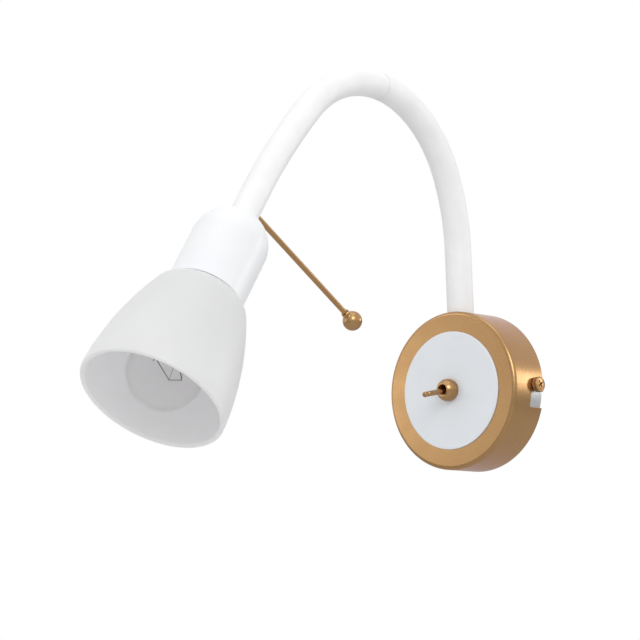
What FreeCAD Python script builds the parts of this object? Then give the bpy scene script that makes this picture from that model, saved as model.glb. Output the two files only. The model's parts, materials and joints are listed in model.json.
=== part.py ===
# Bedside wall reading lamp: a brass canopy with a ball-collared toggle, a white sleeved gooseneck,
# and a bell shade on a domed cup with a long aiming rod. Millimetres, +Z up.
# The origin lies on the wall, on the canopy's own axis. The front of the lamp faces -Y.
import FreeCAD, Part
import math
import os
import Sketcher

Vector = FreeCAD.Vector
doc = FreeCAD.newDocument("ReadingLamp")

# ---------------------------------------------------------------------------------------------
# Driving sizes
# ---------------------------------------------------------------------------------------------
SIZES = {
    # canopy: a pressed brass cup over the wall bracket, with a white disc let into its front
    "canopyRadius": 50.0,
    "canopyDepth": 29.5,
    "canopyWall": 1.2,
    "canopyEdgeRound": 2.5,
    "discRadius": 37.2,
    "discThick": 1.6,
    "discRound": 0.7,
    "recessDepth": 0.5,
    "pressFit": 0.1,
    "runningFit": 0.05,
    # wall bracket: a steel strip with two curved ears that the canopy turns onto
    "bracketThick": 1.5,
    "bracketHalfTall": 14.5,
    "earDepth": 14.0,
    "earGap": 0.2,
    "wallSlotSpacing": 72.0,
    "wallSlotLength": 10.0,
    "wallSlotHalfWide": 2.4,
    "cableHoleRadius": 6.5,
    # thumb screws at the sides of the canopy, and the bayonet slots they hold
    "screwSetback": 7.5,
    "thumbRadius": 4.8,
    "thumbLong": 3.6,
    "thumbChamfer": 0.5,
    "thumbShank": 2.0,
    "thumbShankLong": 6.0,
    "slotClearance": 0.3,
    "slotTurn": 9.0,
    "slotCorner": 1.5,
    # toggle switch and its ball collar
    "bushingRadius": 3.9,
    "bushingBore": 2.75,
    "bushingMouth": 3.15,
    "bushingTaperLong": 0.8,
    "collarRadius": 7.1,
    "collarCentre": 2.5,
    "collarFace": 5.6,
    "collarLip": 1.2,
    "collarHole": 3.4,
    "leverRadius": 1.7,
    "leverBall": 2.7,
    "leverReach": 24.4,
    "leverTail": 4.2,
    "leverTailRadius": 1.1,
    "leverTilt": 10.5,
    "leverTipLong": 3.0,
    "leverGroove": 0.35,
    "leverGrooveLong": 0.7,
    "switchNutFlats": 11.0,
    "switchNutThick": 2.0,
    "switchWasherThick": 0.6,
    "switchWide": 13.0,
    "switchTall": 17.0,
    "switchDeep": 11.5,
    "switchEdge": 0.8,
    "tagWide": 2.8,
    "tagThick": 0.8,
    "tagLong": 4.5,
    "tagPitch": 5.2,
    # wiring block on the bracket
    "blockCentre": 18.5,
    "polePitch": 9.0,
    "poleLong": 17.0,
    "barrelRadius": 4.0,
    "poleBoreRadius": 1.9,
    "towerRadius": 3.2,
    "towerTall": 13.0,
    "towerPitch": 8.4,
    "poleScrewRadius": 1.7,
    "poleScrewSunk": 0.5,
    "webWide": 9.0,
    "webThick": 6.0,
    "webHoleRadius": 1.6,
    "earthCentre": 17.0,
    "earthScrewRadius": 3.5,
    "earthScrewThick": 2.4,
    # gooseneck: a wound core in a soft white sleeve, in pieces that turn on each other's round ends
    "neckRadius": 8.5,
    "sleeveWall": 1.5,
    "coreBore": 3.5,
    "knuckleRadius": 9.2,
    "knuckleGap": 0.3,
    "neckSetback": 16.6,
    "riserRun": 22.0,
    "riserLink": 18.35,
    "bendRadiusA": 127.7,
    "bendTurnA": 22.7,
    "bendRadiusB": 76.8,
    "bendTurnB": 31.2,
    "bendRadiusC": 85.0,
    "bendTurnC": 24.5,
    "bendRadiusD": 494.8,
    "bendTurnD": 5.2,
    "bendRadiusE": 325.0,
    "bendTurnE": 5.12,
    "headRun": 21.7,
    # how the neck is screwed to the canopy's rim
    "ferruleLong": 10.0,
    "nippleRadius": 4.95,
    "nippleBore": 3.0,
    "nippleLong": 7.5,
    "nippleClearance": 0.2,
    "nutFlats": 14.0,
    "nutThick": 3.0,
    "saddleThick": 1.1,
    "saddleRadius": 7.6,
    # head: domed cup, E14 lampholder and bell shade
    "cupRadius": 23.0,
    "cupWall": 1.2,
    "cupLong": 60.65,
    "headFerruleLong": 15.0,
    "headNippleLong": 16.0,
    "capTop": 9.0,
    "capNeckRadius": 8.5,
    "capRadius": 15.0,
    "capShoulder": 20.0,
    "capWall": 2.0,
    "capThreadLong": 6.0,
    "holderSplit": 34.0,
    "holderBodyRadius": 14.4,
    "holderFlangeRadius": 17.5,
    "holderFlangeThick": 2.4,
    "skirtRadius": 13.7,
    "skirtLong": 27.0,
    "shellWall": 0.4,
    "shellBore": 7.15,
    "shadeTop": 59.7,
    "shadeHole": 14.2,
    "shadeWall": 3.0,
    "shadeShoulderRound": 13.3,
    "shadeShoulderRadius": 29.0,
    "shadeShoulderAt": 68.0,
    "shadeBellRound": 200.0,
    "shadeMouthRadius": 43.4,
    "shadeMouthRun": 6.0,
    "shadeMouthAt": 138.0,
    "ringRadius": 19.5,
    "ringThick": 6.0,
    "ringNotchRadius": 1.5,
    "ringNotchInset": 0.5,
    "ringNotchStart": 2.0,
    "ringNotches": 12.0,
    # aiming rod, screwed crosswise into the head ferrule
    "rodRadius": 1.65,
    "rodReach": 108.4,
    "rodLean": 2.3,
    "rodAt": 7.5,
    "rodBall": 6.0,
    "rodShort": 2.0,
    "rodInFerrule": 0.75,
    "rodCollar": 2.6,
    "rodCollarLong": 3.0,
    # E14 globe bulb
    "bulbContactAt": 61.9,
    "bulbCapRadius": 7.05,
    "bulbCapLong": 20.0,
    "bulbCapWall": 0.4,
    "bulbInsulatorLong": 4.0,
    "bulbContactRadius": 2.4,
    "bulbContactLong": 1.2,
    "globeRadius": 22.5,
    "globeWall": 0.8,
    "globeTipAt": 140.0,
    "bulbNeckRadius": 6.5,
    "bulbFlareAngle": 34.0,
    "bulbFlareRound": 13.7,
    "stemRadius": 2.6,
    "stemFoot": 5.4,
    "stemFootLong": 5.6,
    "stemLong": 24.0,
    "filamentRadius": 10.0,
    "filamentWire": 0.3,
    "filamentTurn": 300.0,
    "filamentGap": 1.3,
    "supportWire": 0.35,
    "supportRise": 22.8,
}

sheet = doc.addObject("Spreadsheet::Sheet", "Sizes")
for row, (alias, number) in enumerate(SIZES.items(), start=1):
    sheet.set(f"A{row}", alias)
    sheet.set(f"B{row}", str(number))
    sheet.setAlias(f"B{row}", alias)
derived = doc.addObject("Spreadsheet::Sheet", "Derived")
doc.recompute()


class Dim:
    """A size: its value now, and the expression that gives the same value from the sheets."""

    def __init__(self, value, text):
        self.value = value
        self.text = text

    def __add__(self, other):
        other = as_dim(other)
        return Dim(self.value + other.value, f"({self.text} + {other.text})")

    def __sub__(self, other):
        other = as_dim(other)
        return Dim(self.value - other.value, f"({self.text} - {other.text})")

    def __mul__(self, other):
        other = as_dim(other)
        return Dim(self.value * other.value, f"({self.text} * {other.text})")

    def __truediv__(self, other):
        other = as_dim(other)
        return Dim(self.value / other.value, f"({self.text} / {other.text})")

    def __radd__(self, other):
        return as_dim(other) + self

    def __rsub__(self, other):
        return as_dim(other) - self

    def __rmul__(self, other):
        return as_dim(other) * self

    def __neg__(self):
        return Dim(-self.value, f"(0 - {self.text})")


def as_dim(number):
    return number if isinstance(number, Dim) else Dim(float(number), f"{float(number)}")


def root(square):
    return Dim(math.sqrt(square.value), f"sqrt({square.text})")


def sine(angle):
    return Dim(math.sin(math.radians(angle.value)), f"sin({angle.text})")


def cosine(angle):
    return Dim(math.cos(math.radians(angle.value)), f"cos({angle.text})")


def arctangent(slope):
    return Dim(math.degrees(math.atan(slope.value)), f"atan({slope.text})")


class Sheet:
    """Reads a driving size from the sheet by its name."""

    def __getattr__(self, alias):
        return Dim(float(sheet.get(alias)), f"Sizes.{alias}")


s = Sheet()
derived_rows = []


def derive(alias, dim):
    """Keeps a worked-out size in the Derived sheet, so that later expressions stay short."""
    derived_rows.append(alias)
    row = len(derived_rows)
    derived.set(f"A{row}", alias)
    derived.set(f"B{row}", f"={dim.text}")
    derived.setAlias(f"B{row}", alias)
    return Dim(dim.value, f"Derived.{alias}")


# ---------------------------------------------------------------------------------------------
# Modelling helpers
# ---------------------------------------------------------------------------------------------
nodes = []


def node(obj, label):
    """Names a finished sub-part; the name is also its file's name."""
    obj.Label = label
    nodes.append(obj)
    return obj


def place(obj, x=0.0, y=0.0, z=0.0, tilt=0.0, swing=None, prop="Placement"):
    """Puts an object at x, y, z, turned by swing degrees about its own Y, then by tilt about X."""
    x, y, z, tilt = (as_dim(value) for value in (x, y, z, tilt))
    turn = f"rotation(vector(1; 0; 0); {tilt.text})"
    if swing is not None:
        turn += f" * rotation(vector(0; 1; 0); {as_dim(swing).text})"
    obj.setExpression(prop, f"placement(vector({x.text}; {y.text}; {z.text}); {turn})")


def new_body(name):
    return doc.addObject("PartDesign::Body", name)


def new_sketch(body, name, plane, y=0.0, z=0.0, tilt=0.0, x=0.0):
    """A sketch on one of the body's origin planes, moved along that plane's own axes if asked."""
    sketch = body.newObject("Sketcher::SketchObject", name)
    support = [item for item in body.Origin.OriginFeatures if item.Role == plane][0]
    sketch.AttachmentSupport = [(support, "")]
    sketch.MapMode = "FlatFace"
    place(sketch, x, y, z, tilt, prop="AttachmentOffset")
    return sketch


def lock(sketch, edge, end, x, y):
    """Fixes one end of an edge at x, y by expressions. Edges -2 and -1 are the sketch's own
    vertical and horizontal axes."""
    for kind, axis, place_on in (("DistanceX", -2, x), ("DistanceY", -1, y)):
        dim = as_dim(place_on)
        if dim.value == 0.0:
            sketch.addConstraint(Sketcher.Constraint("PointOnObject", edge, end, axis))
            continue
        index = sketch.addConstraint(Sketcher.Constraint(kind, edge, end, dim.value))
        sketch.setExpression(f"Constraints[{index}]", dim.text)


def arc_centre(start, end, radius):
    """Centre of the short arc from start to end: anticlockwise if radius is positive."""
    (x0, y0), (x1, y1) = start, end
    dx, dy = x1 - x0, y1 - y0
    chord2 = dx * dx + dy * dy
    lift = root(radius * radius / chord2 - 0.25)
    if radius.value < 0:
        lift = -lift
    return (x0 + x1) / 2 - dy * lift, (y0 + y1) / 2 + dx * lift


def outline(sketch, points):
    """A closed outline. A third value on a point makes the edge that leads to it an arc:
    positive radii turn anticlockwise, negative ones clockwise."""
    corners = [(as_dim(point[0]), as_dim(point[1])) for point in points]
    first = sketch.GeometryCount
    heads, tails = [], []
    for index, point in enumerate(points):
        start, end = corners[index - 1], corners[index]
        a = Vector(start[0].value, start[1].value, 0)
        b = Vector(end[0].value, end[1].value, 0)
        if len(point) == 2:
            sketch.addGeometry(Part.LineSegment(a, b), False)
            heads.append(1)
            tails.append(2)
            continue
        radius = as_dim(point[2])
        x, y = arc_centre(start, end, radius)
        centre = Vector(x.value, y.value, 0)
        circle = Part.Circle(centre, Vector(0, 0, 1), abs(radius.value))
        low, high = (a, b) if radius.value > 0 else (b, a)
        low_angle = math.atan2(low.y - centre.y, low.x - centre.x)
        high_angle = math.atan2(high.y - centre.y, high.x - centre.x)
        sketch.addGeometry(Part.ArcOfCircle(circle, low_angle, high_angle), False)
        heads.append(1 if radius.value > 0 else 2)
        tails.append(2 if radius.value > 0 else 1)
    count = len(points)
    for index in range(count):
        after = (index + 1) % count
        sketch.addConstraint(
            Sketcher.Constraint("Coincident", first + index, tails[index], first + after, heads[after])
        )
    for index, point in enumerate(points):
        if len(point) == 3:
            radius = as_dim(point[2])
            size = radius if radius.value > 0 else -radius
            number = sketch.addConstraint(Sketcher.Constraint("Radius", first + index, size.value))
            sketch.setExpression(f"Constraints[{number}]", size.text)
        lock(sketch, first + index, tails[index], *corners[index])


def circle(sketch, x, y, radius):
    """A circle with its centre and radius bound to the sheet."""
    x, y, radius = as_dim(x), as_dim(y), as_dim(radius)
    edge = sketch.addGeometry(
        Part.Circle(Vector(x.value, y.value, 0), Vector(0, 0, 1), radius.value), False
    )
    lock(sketch, edge, 3, x, y)
    number = sketch.addConstraint(Sketcher.Constraint("Radius", edge, radius.value))
    sketch.setExpression(f"Constraints[{number}]", radius.text)


def revolve(body, name, points, kind="PartDesign::Revolution"):
    """Turns an outline of (radius, height) points about the body's Z axis, to add or to cut."""
    sketch = new_sketch(body, name + "Outline", "XZ_Plane")
    outline(sketch, points)
    feature = body.newObject(kind, name)
    feature.Profile = sketch
    feature.ReferenceAxis = (sketch, ["V_Axis"])
    feature.Angle = 360
    return feature


def pad(body, name, sketch, length, down=False):
    feature = body.newObject("PartDesign::Pad", name)
    feature.Profile = sketch
    feature.setExpression("Length", as_dim(length).text)
    feature.Reversed = down
    return feature


def pocket(body, name, sketch, length, both=False, ahead=False):
    """Cuts a sketch against its normal, along it (ahead) or to both sides by half each."""
    feature = body.newObject("PartDesign::Pocket", name)
    feature.Profile = sketch
    feature.setExpression("Length", as_dim(length).text)
    feature.Midplane = both
    feature.Reversed = ahead
    return feature


def around(body, name, features, copies):
    """Repeats features evenly round the body's Z axis."""
    pattern = body.newObject("PartDesign::PolarPattern", name)
    pattern.Originals = features
    axis = [item for item in body.Origin.OriginFeatures if item.Role == "Z_Axis"][0]
    pattern.Axis = (axis, [""])
    pattern.Angle = 360
    pattern.Occurrences = copies
    body.Tip = pattern
    return pattern


def ball_cut(body, name, radius, y, z):
    """Cuts a ball whose centre lies at y, z in the body's own frame."""
    ball = body.newObject("PartDesign::SubtractiveSphere", name)
    support = [item for item in body.Origin.OriginFeatures if item.Role == "XY_Plane"][0]
    ball.AttachmentSupport = [(support, "")]
    ball.MapMode = "FlatFace"
    place(ball, 0.0, y, z, prop="AttachmentOffset")
    ball.setExpression("Radius", as_dim(radius).text)
    return ball


def turned(label, points, **where):
    """A lathe part: one outline turned about Z, then placed."""
    body = new_body(label.title().replace("_", ""))
    revolve(body, "Turning", points)
    place(body, **where)
    return node(body, label)


def cylinder(name, radius, height, **where):
    solid = doc.addObject("Part::Cylinder", name)
    solid.setExpression("Radius", as_dim(radius).text)
    solid.setExpression("Height", as_dim(height).text)
    place(solid, **where)
    return solid


def box(name, wide, deep, tall, **where):
    solid = doc.addObject("Part::Box", name)
    for side, dim in (("Length", wide), ("Width", deep), ("Height", tall)):
        solid.setExpression(side, as_dim(dim).text)
    place(solid, **where)
    return solid


def cut(name, base, tool):
    result = doc.addObject("Part::Cut", name)
    result.Base = base
    result.Tool = tool
    return result


def joined(name, solids):
    result = doc.addObject("Part::MultiFuse", name)
    result.Shapes = solids
    return result


def grouped(name, solids):
    """Separate solids of one node."""
    result = doc.addObject("Part::Compound", name)
    result.Links = solids
    return result


def hex_corner(flats):
    """Half the width across a hexagon's corners."""
    return flats / 2 / cosine(as_dim(30))


def hex_nut(label, flats, thick, bore, **where):
    """A plain hexagon nut with its corners turned off at both faces."""
    body = new_body(label.title().replace("_", ""))
    corner = hex_corner(flats)
    half = flats / 2
    sketch = new_sketch(body, "Hexagon", "XY_Plane")
    outline(sketch, [
        (corner, 0), (corner / 2, half), (-corner / 2, half),
        (-corner, 0), (-corner / 2, -half), (corner / 2, -half),
    ])
    pad(body, "Blank", sketch, thick)
    hole = new_sketch(body, "Thread", "XY_Plane")
    circle(hole, 0, 0, bore)
    pocket(body, "Tapping", hole, thick, ahead=True)
    bevel = corner - half
    for name, low, high in (("LowBevel", 0.0, bevel / 2), ("HighBevel", thick, thick - bevel / 2)):
        revolve(body, name, [(half, low), (corner + bevel, low), (corner + bevel, high)],
                "PartDesign::Groove")
    place(body, **where)
    return node(body, label)


# ---------------------------------------------------------------------------------------------
# Canopy. Its parts are drawn with Z as the distance out from the wall, and tipped onto -Y.
# ---------------------------------------------------------------------------------------------
ON_WALL = {"tilt": 90}

rim_bore = derive("rimBore", s.canopyRadius - s.canopyWall)
front = derive("canopyFront", s.canopyDepth - s.recessDepth)
plate_back = derive("plateBack", front - s.canopyWall)
disc_front = derive("discFront", front + s.discThick)
recess = derive("recessRadius", s.discRadius + s.pressFit)
panel_hole = derive("panelHole", s.bushingRadius + s.pressFit)
neck_hole = derive("neckHole", s.nippleRadius + s.nippleClearance)


def canopy_cup():
    body = new_body("CanopyCup")
    bend = s.canopyEdgeRound
    inner_bend = bend - s.canopyWall
    revolve(body, "Pressing", [
        (s.canopyRadius, 0),
        (s.canopyRadius, s.canopyDepth - bend),
        (s.canopyRadius - bend, s.canopyDepth, bend),
        (recess, s.canopyDepth),
        (recess, front),
        (panel_hole, front),
        (panel_hole, plate_back),
        (recess + s.canopyWall, plate_back),
        (recess + s.canopyWall, s.canopyDepth - s.canopyWall),
        (rim_bore - inner_bend, s.canopyDepth - s.canopyWall),
        (rim_bore, s.canopyDepth - bend, -inner_bend),
        (rim_bore, 0),
    ])
    # bayonet slot: the thumb screw's head passes the wide mouth, then its shank turns into the hook
    reach = s.thumbRadius + s.slotClearance
    half = s.thumbShank + s.slotClearance
    mouth_low = -(s.slotTurn + reach)
    mouth_high = reach - s.slotTurn
    mouth_top = s.screwSetback + reach
    corner = s.slotCorner
    sketch = new_sketch(body, "BayonetOutline", "YZ_Plane")
    outline(sketch, [
        (mouth_low, -s.canopyWall),
        (mouth_high, -s.canopyWall),
        (mouth_high, s.screwSetback - half),
        (0, s.screwSetback - half),
        (half, s.screwSetback, half),
        (0, s.screwSetback + half, half),
        (mouth_high, s.screwSetback + half),
        (mouth_high, mouth_top - corner),
        (mouth_high - corner, mouth_top, corner),
        (mouth_low + corner, mouth_top),
        (mouth_low, mouth_top - corner, corner),
    ])
    slot = pocket(body, "Bayonet", sketch, s.canopyRadius + s.canopyWall, ahead=True)
    around(body, "Bayonets", [slot], 2)
    sketch = new_sketch(body, "NeckHoleOutline", "XZ_Plane")
    circle(sketch, 0, s.neckSetback, neck_hole)
    pocket(body, "NeckHole", sketch, s.canopyRadius + s.canopyWall)
    place(body, **ON_WALL)
    return node(body, "canopy_cup")


def front_disc():
    turned("front_disc", [
        (panel_hole, front),
        (s.discRadius, front),
        (s.discRadius, disc_front - s.discRound),
        (s.discRadius - s.discRound, disc_front, s.discRound),
        (panel_hole, disc_front),
    ], **ON_WALL)


ear = derive("earRadius", rim_bore - s.earGap)


def wall_bracket():
    body = new_body("WallBracket")
    half = s.bracketHalfTall
    inner = ear - s.bracketThick
    edge = derive("earEdge", root(ear * ear - half * half))
    inner_edge = derive("earInnerEdge", root(inner * inner - half * half))
    strip = new_sketch(body, "StripOutline", "XY_Plane")
    outline(strip, [(edge, -half), (edge, half, ear), (-edge, half), (-edge, -half, ear)])
    pad(body, "Strip", strip, s.bracketThick)
    bent = new_sketch(body, "EarOutline", "XY_Plane")
    outline(bent, [(edge, -half), (edge, half, ear), (inner_edge, half), (inner_edge, -half, -inner)])
    lug = pad(body, "Ear", bent, s.earDepth)
    around(body, "Ears", [lug], 2)
    # wall slots, cable hole, earth tapping and the two tapped ears
    slot = new_sketch(body, "WallSlotOutline", "XY_Plane")
    mid = s.wallSlotSpacing / 2
    run = s.wallSlotLength / 2 - s.wallSlotHalfWide
    wide = s.wallSlotHalfWide
    outline(slot, [
        (mid + run, -wide), (mid + run + wide, 0, wide), (mid + run, wide, wide),
        (mid - run, wide), (mid - run - wide, 0, wide), (mid - run, -wide, wide),
    ])
    first = pocket(body, "WallSlot", slot, s.bracketThick, ahead=True)
    around(body, "WallSlots", [first], 2)
    holes = new_sketch(body, "HoleOutline", "XY_Plane")
    circle(holes, 0, 0, s.cableHoleRadius)
    circle(holes, s.earthCentre, 0, s.thumbShank)
    pocket(body, "Holes", holes, s.bracketThick, ahead=True)
    taps = new_sketch(body, "EarTapOutline", "YZ_Plane")
    circle(taps, 0, s.screwSetback, s.thumbShank)
    pocket(body, "EarTaps", taps, s.canopyRadius * 2, both=True)
    place(body, **ON_WALL)
    return node(body, "wall_bracket")


def side_screws():
    """Thumb screws at three and nine o'clock: turned head, shank through the slot into the ear."""
    seat = s.canopyRadius + s.runningFit
    screws = []
    for name, side in (("Right", 1), ("Left", -1)):
        body = new_body(f"SideScrew{name}")
        revolve(body, "Turning", [
            (0, 0),
            (s.thumbRadius - s.thumbChamfer, 0),
            (s.thumbRadius, s.thumbChamfer),
            (s.thumbRadius, s.thumbLong - s.thumbChamfer),
            (s.thumbRadius - s.thumbChamfer, s.thumbLong),
            (s.thumbShank - s.runningFit, s.thumbLong),
            (s.thumbShank - s.runningFit, s.thumbLong + s.thumbShankLong),
            (0, s.thumbLong + s.thumbShankLong),
        ])
        place(body, x=(seat + s.thumbLong) * side, y=-s.screwSetback, swing=-90 * side)
        screws.append(body)
    node(grouped("SideScrews", screws), "side_screws")


# ---------------------------------------------------------------------------------------------
# Toggle switch
# ---------------------------------------------------------------------------------------------
pivot = derive("togglePivot", disc_front + s.collarCentre)
collar_face = derive("collarFaceAt", pivot + s.collarFace)
nut_front = derive("switchNutFront", plate_back - s.switchWasherThick)
nut_back = derive("switchNutBack", nut_front - s.switchNutThick)
switch_back = derive("switchBack", nut_back - s.switchDeep)
bushing_end = derive("bushingEnd", collar_face - s.collarLip - s.runningFit)


def toggle_collar():
    """Ball nut cut flat behind, where it bears on the disc, and in front, round the lever."""
    rear = root(s.collarRadius * s.collarRadius - s.collarCentre * s.collarCentre)
    nose = root(s.collarRadius * s.collarRadius - s.collarFace * s.collarFace)
    thread = s.bushingRadius + s.runningFit
    turned("toggle_collar", [
        (thread, disc_front),
        (rear, disc_front),
        (s.collarRadius, pivot, s.collarRadius),
        (nose, collar_face, s.collarRadius),
        (s.collarHole, collar_face),
        (s.collarHole, collar_face - s.collarLip),
        (thread, collar_face - s.collarLip),
    ], **ON_WALL)


def switch_parts():
    mouth_end = bushing_end - (s.bushingMouth - s.bushingBore)
    turned("switch_bushing", [
        (s.bushingBore, nut_back),
        (s.bushingRadius, nut_back),
        (s.bushingRadius, bushing_end),
        (s.bushingMouth, bushing_end),
        (s.bushingMouth, mouth_end),
        (s.bushingBore, mouth_end - s.bushingTaperLong),
    ], **ON_WALL)
    turned("switch_washer", [
        (s.bushingRadius + s.runningFit, nut_front),
        (s.switchNutFlats / 2, nut_front),
        (s.switchNutFlats / 2, plate_back),
        (s.bushingRadius + s.runningFit, plate_back),
    ], **ON_WALL)
    hex_nut("switch_nut", s.switchNutFlats, s.switchNutThick, s.bushingRadius + s.runningFit,
            y=-nut_back, tilt=90)

    body = new_body("SwitchBody")
    case = new_sketch(body, "CaseOutline", "XY_Plane", z=switch_back)
    wide, tall = s.switchWide / 2, s.switchTall / 2
    outline(case, [(wide, -tall), (wide, tall), (-wide, tall), (-wide, -tall)])
    block = pad(body, "Case", case, s.switchDeep)
    doc.recompute()
    fillet = body.newObject("PartDesign::Fillet", "CaseEdges")
    corners = [
        f"Edge{number}" for number, edge in enumerate(block.Shape.Edges, start=1)
        if abs(edge.Vertexes[0].Z - edge.Vertexes[1].Z) > s.switchEdge.value
    ]
    fillet.Base = (block, corners)
    fillet.setExpression("Radius", s.switchEdge.text)
    place(body, **ON_WALL)
    node(body, "switch_body")

    tags = [
        box(f"SwitchTag{number}", s.tagWide, s.tagThick, s.tagLong, x=-s.tagWide / 2,
            y=s.tagLong - switch_back, z=s.tagPitch * (number - 1) - s.tagThick / 2, tilt=90)
        for number in range(3)
    ]
    node(grouped("SwitchTags", tags), "switch_terminals")


def toggle_lever():
    """Pivot ball in the bushing, a short tail to the contacts and the long lever with its button."""
    ball = s.leverBall
    at_tail = root(ball * ball - s.leverTailRadius * s.leverTailRadius)
    at_lever = root(ball * ball - s.leverRadius * s.leverRadius)
    shank_end = s.leverReach - s.leverTipLong
    waist = s.leverRadius - s.leverGroove
    turned("toggle_lever", [
        (0, -s.leverTail),
        (s.leverTailRadius, -s.leverTail),
        (s.leverTailRadius, -at_tail),
        (ball, 0, ball),
        (s.leverRadius, at_lever, ball),
        (s.leverRadius, shank_end - s.leverGrooveLong - s.leverGroove),
        (waist, shank_end - s.leverGrooveLong),
        (waist, shank_end),
        (s.leverRadius, shank_end + s.leverGroove),
        (s.leverRadius, s.leverReach - s.leverRadius / 2),
        (s.leverRadius / 2, s.leverReach, s.leverRadius / 2),
        (0, s.leverReach),
    ], y=-pivot, tilt=s.leverTilt + 90)


# ---------------------------------------------------------------------------------------------
# Wiring inside the canopy
# ---------------------------------------------------------------------------------------------
def wiring_parts():
    """Two-pole terminal strip: a wire barrel per pole with two screw towers, on a drilled web."""
    axis_at = s.bracketThick + s.barrelRadius
    low_x = -s.blockCentre - s.poleLong / 2
    web_x = -s.blockCentre - s.webWide / 2
    solids = [box("StripWeb", s.webWide, s.polePitch, s.webThick, x=web_x,
                  y=-s.bracketThick, z=-s.polePitch / 2, tilt=90)]
    hollows = [cylinder("WebHole", s.webHoleRadius, axis_at * 2, x=-s.blockCentre, tilt=90)]
    screws = []
    screw_end = axis_at + s.poleBoreRadius / 2
    screw_top = s.bracketThick + s.towerTall - s.poleScrewSunk
    for pole, up in (("Upper", 1), ("Lower", -1)):
        z = s.polePitch / 2 * up
        solids.append(cylinder(f"{pole}Barrel", s.barrelRadius, s.poleLong,
                               x=low_x, y=-axis_at, z=z, swing=90))
        hollows.append(cylinder(f"{pole}Bore", s.poleBoreRadius, s.poleLong,
                                x=low_x, y=-axis_at, z=z, swing=90))
        for end, side in (("Left", -1), ("Right", 1)):
            x = s.towerPitch / 2 * side - s.blockCentre
            solids.append(cylinder(f"{pole}{end}Tower", s.towerRadius, s.towerTall - s.barrelRadius,
                                   x=x, y=-axis_at, z=z, tilt=90))
            hollows.append(cylinder(f"{pole}{end}Well", s.poleScrewRadius + s.pressFit, s.towerTall,
                                    x=x, y=-axis_at, z=z, tilt=90))
            screws.append(cylinder(f"{pole}{end}Screw", s.poleScrewRadius, screw_top - screw_end,
                                   x=x, y=-screw_end, z=z, tilt=90))
    node(cut("TerminalStrip", joined("StripSolids", solids), joined("StripHollows", hollows)),
         "terminal_block")
    node(grouped("TerminalScrews", screws), "terminal_screws")

    shank = s.thumbShank - s.runningFit
    turned("earth_screw", [
        (0, 0),
        (shank, 0),
        (shank, s.bracketThick),
        (s.earthScrewRadius, s.bracketThick),
        (s.earthScrewRadius, s.bracketThick + s.earthScrewThick),
        (0, s.bracketThick + s.earthScrewThick),
    ], x=s.earthCentre, tilt=90)


# ---------------------------------------------------------------------------------------------
# Gooseneck. Each piece starts at its own hinge point with Z along the neck, and bends towards -Y.
# ---------------------------------------------------------------------------------------------
core_radius = derive("coreRadius", s.neckRadius - s.sleeveWall - s.runningFit)
sleeve_bore = derive("sleeveBore", s.neckRadius - s.sleeveWall)
socket_radius = derive("socketRadius", s.knuckleRadius + s.knuckleGap)


class Station:
    """A point on the neck's centre line, with the line's tilt away from straight up."""

    def __init__(self, name, y, z, tilt):
        self.y = derive(name + "Y", y)
        self.z = derive(name + "Z", z)
        self.tilt = derive(name + "Tilt", tilt)

    def offset(self, across, along):
        """World y, z of a point given in this station's own y and z."""
        turn, rise = sine(self.tilt), cosine(self.tilt)
        return self.y + across * rise - along * turn, self.z + across * turn + along * rise

    def beyond(self, name, span):
        across, along = span.end()
        y, z = self.offset(across, along)
        return Station(name, y, z, self.tilt + span.turn)


class Span:
    """One stretch of the neck: an arc of a radius and a turn, then a straight run."""

    def __init__(self, run=0.0, radius=0.0, turn=0.0):
        self.run = as_dim(run)
        self.radius = as_dim(radius)
        self.turn = as_dim(turn)

    def bend_end(self):
        return self.radius * (cosine(self.turn) - 1), self.radius * sine(self.turn)

    def end(self):
        if not self.turn.value:
            return as_dim(0.0), self.run
        across, along = self.bend_end()
        if not self.run.value:
            return across, along
        return across - self.run * sine(self.turn), along + self.run * cosine(self.turn)


def ring(body, name, outer, inner, span, at_bend_end=False):
    """The neck's section, with the bend's axis as a construction line where it has one."""
    if at_bend_end:
        across, along = span.bend_end()
        sketch = new_sketch(body, name, "XY_Plane", y=across, z=along, tilt=span.turn)
    else:
        sketch = new_sketch(body, name, "XY_Plane")
    circle(sketch, 0, 0, outer)
    circle(sketch, 0, 0, inner)
    if span.turn.value and not at_bend_end:
        far = -span.radius
        line = sketch.addGeometry(
            Part.LineSegment(Vector(-outer.value, far.value, 0), Vector(outer.value, far.value, 0)), True
        )
        lock(sketch, line, 1, -outer, far)
        lock(sketch, line, 2, outer, far)
    return sketch


def neck_tube(label, start, span, outer, inner, knuckle=True, socket=True):
    """One tube of the neck. A knuckle is the rounded lower end that turns about the hinge point;
    a socket is the hollow upper end that takes the next piece's knuckle."""
    body = new_body(label.title().replace("_", ""))
    section = ring(body, "Section", outer, inner, span)
    if knuckle:
        pad(body, "KnuckleStub", section, s.knuckleRadius, down=True)
    if span.turn.value:
        bend = body.newObject("PartDesign::Revolution", "Bend")
        bend.Profile = section
        bend.ReferenceAxis = (section, ["Axis0"])
        bend.setExpression("Angle", span.turn.text)
        if span.run.value:
            pad(body, "Run", ring(body, "RunSection", outer, inner, span, True), span.run)
    else:
        pad(body, "Run", section, span.run)
    if knuckle:
        rho = s.knuckleRadius
        rim = -root(rho * rho - outer * outer)
        lip = -root(rho * rho - inner * inner)
        wide = outer + s.sleeveWall
        revolve(body, "Knuckle", [
            (outer, rim), (inner, lip, -rho), (inner, -rho - s.sleeveWall),
            (wide, -rho - s.sleeveWall), (wide, rim),
        ], "PartDesign::Groove")
    if socket:
        ball_cut(body, "Socket", socket_radius, *span.end())
    place(body, y=start.y, z=start.z, tilt=start.tilt)
    return node(body, label)


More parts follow.
